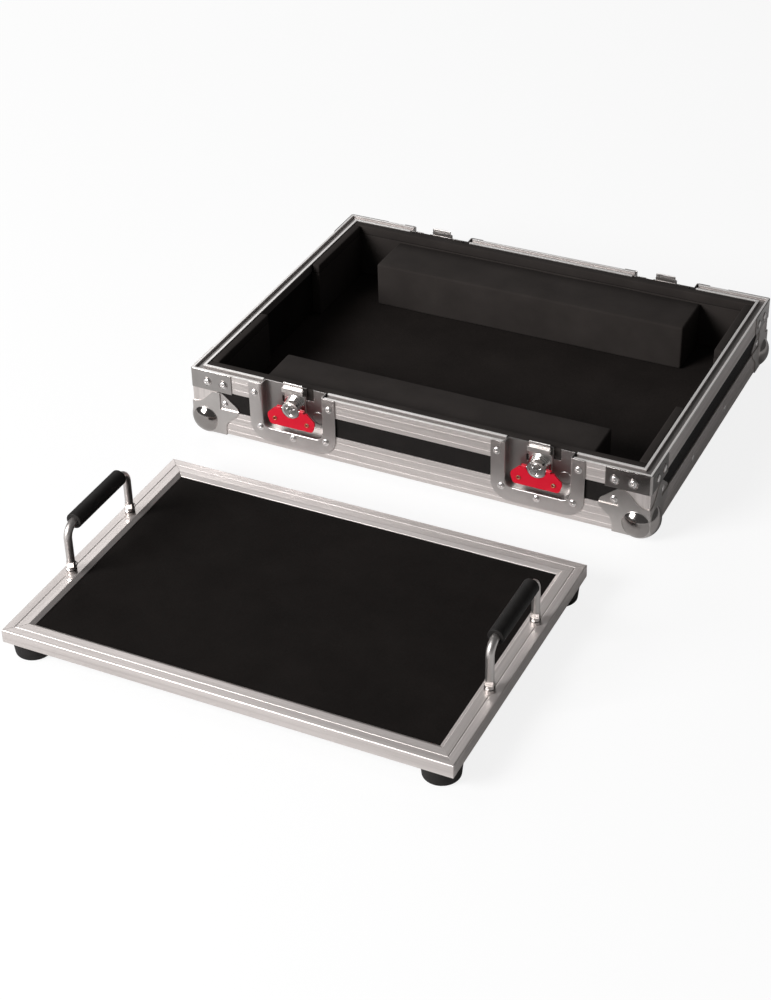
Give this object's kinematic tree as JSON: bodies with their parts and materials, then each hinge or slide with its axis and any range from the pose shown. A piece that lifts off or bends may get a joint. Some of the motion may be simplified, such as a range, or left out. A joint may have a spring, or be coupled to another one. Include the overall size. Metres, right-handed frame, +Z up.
{
  "type": "pedalboard road case tray with lift-out board",
  "caption": "Shallow road case tray with foam lining, ball corners and recessed twist latches, and a framed carpeted board on rubber feet with bail handles.",
  "frame": {"origin": "on the floor under the middle of the whole set, tray and board together", "axes": "+X along the tray's front from left to right, +Y from the board to the tray's rear, +Z up"},
  "size_m": [0.5892, 0.8946, 0.1005],
  "materials": {
    "aluminium": "drawn and satin anodised, with fine lines along the length",
    "pressed_steel": "zinc plated and lightly brushed",
    "chrome": "bright chrome",
    "red_enamel": "crimson enamel",
    "black_laminate": "plywood with a fine-grained black laminate outside",
    "black_foam": "matt black closed-cell foam",
    "black_carpet": "short black needle-felt",
    "black_rubber": "matt black moulded rubber"
  },
  "bodies": {
    "case": {"panel_floor": "black_laminate", "carpet_floor": "black_carpet", "corner_angles": "aluminium", "corner_braces": "pressed_steel", "foam_front": "black_foam", "foam_rear": "black_foam", "foam_side_pads": "black_foam", "foam_block_front": "black_foam", "foam_block_rear": "black_foam", "rivets_latches": "pressed_steel", "rivets_corners": "pressed_steel", "rivets_angles": "pressed_steel", "panel_front": "black_laminate", "rim_front": "aluminium", "angle_front": "aluminium", "panel_rear": "black_laminate", "rim_rear": "aluminium", "angle_rear": "aluminium", "panel_left": "black_laminate", "rim_left": "aluminium", "angle_left": "aluminium", "panel_right": "black_laminate", "rim_right": "aluminium", "angle_right": "aluminium", "latch_dish_front_left": "pressed_steel", "latch_dish_front_right": "pressed_steel", "latch_dish_rear_left": "pressed_steel", "latch_dish_rear_right": "pressed_steel", "ball_corner_front_left": "pressed_steel", "ball_corner_front_right": "pressed_steel", "ball_corner_rear_left": "pressed_steel", "ball_corner_rear_right": "pressed_steel"},
    "board": {"board_panel": "black_laminate", "board_carpet": "black_carpet", "board_frame_front": "aluminium", "board_frame_rear": "aluminium", "board_frame_left": "aluminium", "board_frame_right": "aluminium", "board_feet": "black_rubber", "board_foot_screws": "pressed_steel", "handle_clevises_left": "chrome", "handle_clevises_right": "chrome", "handle_pins": "chrome"},
    "handle_left": {"handle_rod_left": "chrome", "handle_grip_left": "black_rubber"},
    "handle_right": {"handle_rod_right": "chrome", "handle_grip_right": "black_rubber"},
    "cam_front_left": {"latch_cam_front_left": "chrome"},
    "wing_front_left": {"latch_wing_front_left": "red_enamel"},
    "claw_front_left": {"latch_claw_front_left": "chrome"},
    "cam_front_right": {"latch_cam_front_right": "chrome"},
    "wing_front_right": {"latch_wing_front_right": "red_enamel"},
    "claw_front_right": {"latch_claw_front_right": "chrome"},
    "cam_rear_left": {"latch_cam_rear_left": "chrome"},
    "wing_rear_left": {"latch_wing_rear_left": "red_enamel"},
    "claw_rear_left": {"latch_claw_rear_left": "chrome"},
    "cam_rear_right": {"latch_cam_rear_right": "chrome"},
    "wing_rear_right": {"latch_wing_rear_right": "red_enamel"},
    "claw_rear_right": {"latch_claw_rear_right": "chrome"}
  },
  "joints": [
    {"name": "board_lift", "type": "slide", "parent": "case", "child": "board", "axis": [0, 0, 1], "range_m": [0, 0.25]},
    {"name": "handle_fold_left", "type": "hinge", "parent": "board", "child": "handle_left", "pos_m": [-0.2415, -0.2723, 0.0415], "axis": [0, 1, 0], "range_deg": [-87, 87]},
    {"name": "handle_fold_right", "type": "hinge", "parent": "board", "child": "handle_right", "pos_m": [0.2415, -0.2723, 0.0415], "axis": [0, -1, 0], "range_deg": [-87, 87]},
    {"name": "cam_turn_front_left", "type": "hinge", "parent": "case", "child": "cam_front_left", "pos_m": [-0.1535, 0.0087, 0.0668], "axis": [0, -1, 0], "range_deg": [0, 180]},
    {"name": "wing_flip_front_left", "type": "hinge", "parent": "cam_front_left", "child": "wing_front_left", "pos_m": [-0.1535, 0.0055, 0.0668], "axis": [-1, 0, 0], "range_deg": [0, 90]},
    {"name": "claw_slide_front_left", "type": "slide", "parent": "case", "child": "claw_front_left", "axis": [0, 0, 1], "range_m": [0, 0.009]},
    {"name": "cam_turn_front_right", "type": "hinge", "parent": "case", "child": "cam_front_right", "pos_m": [0.1535, 0.0087, 0.0668], "axis": [0, -1, 0], "range_deg": [0, 180]},
    {"name": "wing_flip_front_right", "type": "hinge", "parent": "cam_front_right", "child": "wing_front_right", "pos_m": [0.1535, 0.0055, 0.0668], "axis": [-1, 0, 0], "range_deg": [0, 90]},
    {"name": "claw_slide_front_right", "type": "slide", "parent": "case", "child": "claw_front_right", "axis": [0, 0, 1], "range_m": [0, 0.009]},
    {"name": "cam_turn_rear_left", "type": "hinge", "parent": "case", "child": "cam_rear_left", "pos_m": [-0.1535, 0.4387, 0.0668], "axis": [0, 1, 0], "range_deg": [0, 180]},
    {"name": "wing_flip_rear_left", "type": "hinge", "parent": "cam_rear_left", "child": "wing_rear_left", "pos_m": [-0.1535, 0.4419, 0.0668], "axis": [1, 0, 0], "range_deg": [0, 90]},
    {"name": "claw_slide_rear_left", "type": "slide", "parent": "case", "child": "claw_rear_left", "axis": [0, 0, 1], "range_m": [0, 0.009]},
    {"name": "cam_turn_rear_right", "type": "hinge", "parent": "case", "child": "cam_rear_right", "pos_m": [0.1535, 0.4387, 0.0668], "axis": [0, 1, 0], "range_deg": [0, 180]},
    {"name": "wing_flip_rear_right", "type": "hinge", "parent": "cam_rear_right", "child": "wing_rear_right", "pos_m": [0.1535, 0.4419, 0.0668], "axis": [1, 0, 0], "range_deg": [0, 90]},
    {"name": "claw_slide_rear_right", "type": "slide", "parent": "case", "child": "claw_rear_right", "axis": [0, 0, 1], "range_m": [0, 0.009]}
  ],
  "couplings": [
    {"joint": "claw_slide_front_left", "follows": "cam_turn_front_left", "m_per_rad": 0.002864},
    {"joint": "claw_slide_front_right", "follows": "cam_turn_front_right", "m_per_rad": 0.002864},
    {"joint": "claw_slide_rear_left", "follows": "cam_turn_rear_left", "m_per_rad": 0.002864},
    {"joint": "claw_slide_rear_right", "follows": "cam_turn_rear_right", "m_per_rad": 0.002864}
  ]
}
